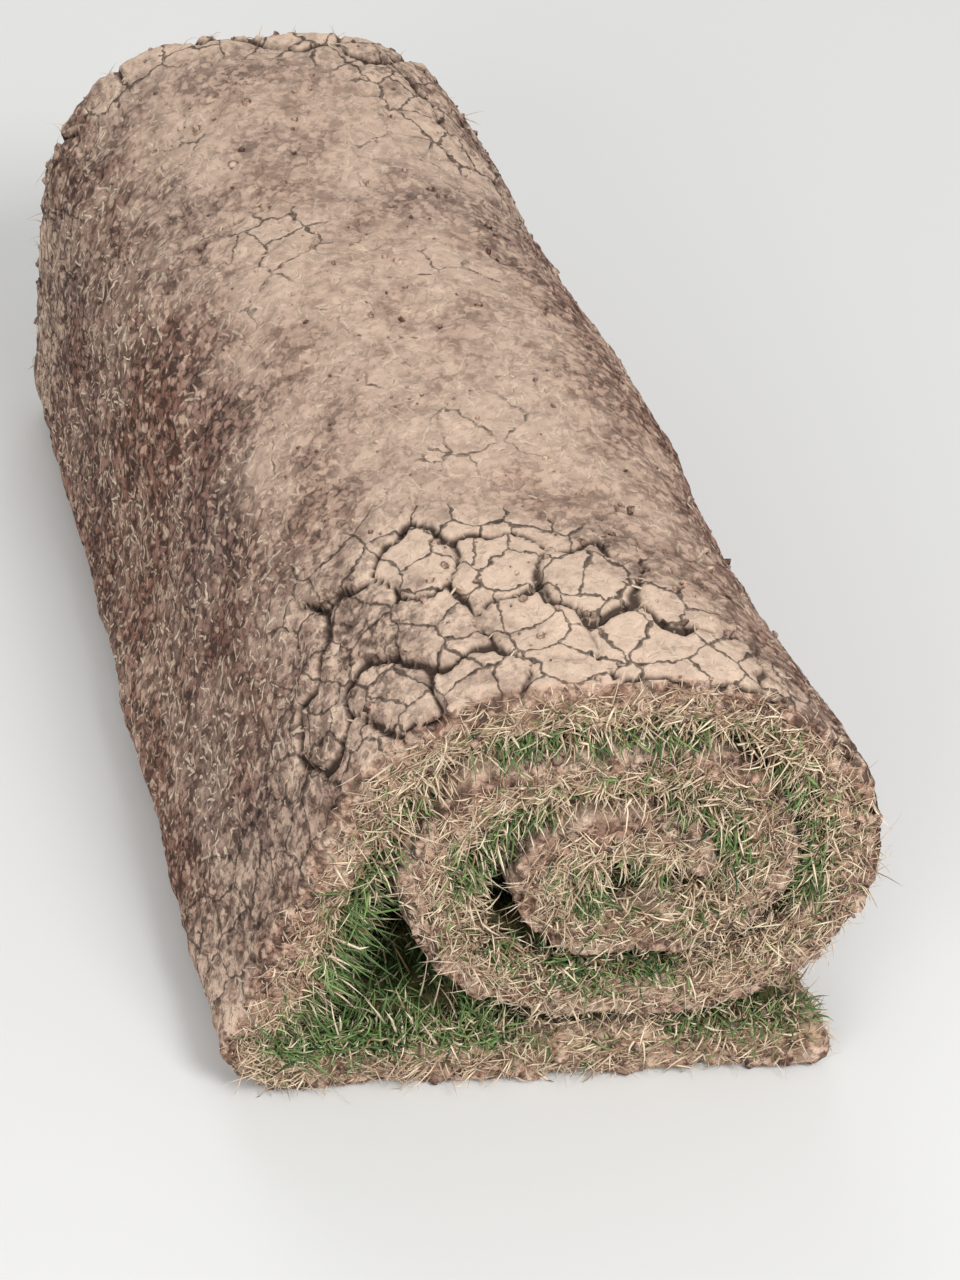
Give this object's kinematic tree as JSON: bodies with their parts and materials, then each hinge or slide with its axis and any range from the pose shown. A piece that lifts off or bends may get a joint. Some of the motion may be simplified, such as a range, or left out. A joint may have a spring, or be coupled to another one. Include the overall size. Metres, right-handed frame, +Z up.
{
  "type": "roll of turf",
  "caption": "Strip of cut turf rolled grass inwards, with its cracked soil outside, spiral turns on both ends and a loose folded outer turn.",
  "frame": {"origin": "bottom centre of the bounding box, on the floor under the middle of the roll", "axes": "+Z up, +Y along the roll's axis towards the end away from the loose fold's wide end, +X towards the free end of the strip"},
  "size_m": [0.2164, 0.4584, 0.162],
  "materials": {
    "turf": "dry clay soil with fine roots, crumbly and matt",
    "grass": "fine green lawn grass, pressed between the turns",
    "thatch": "dry straw-coloured stems and roots"
  },
  "bodies": {
    "root": {"turf_roll": "turf"}
  },
  "joints": []
}
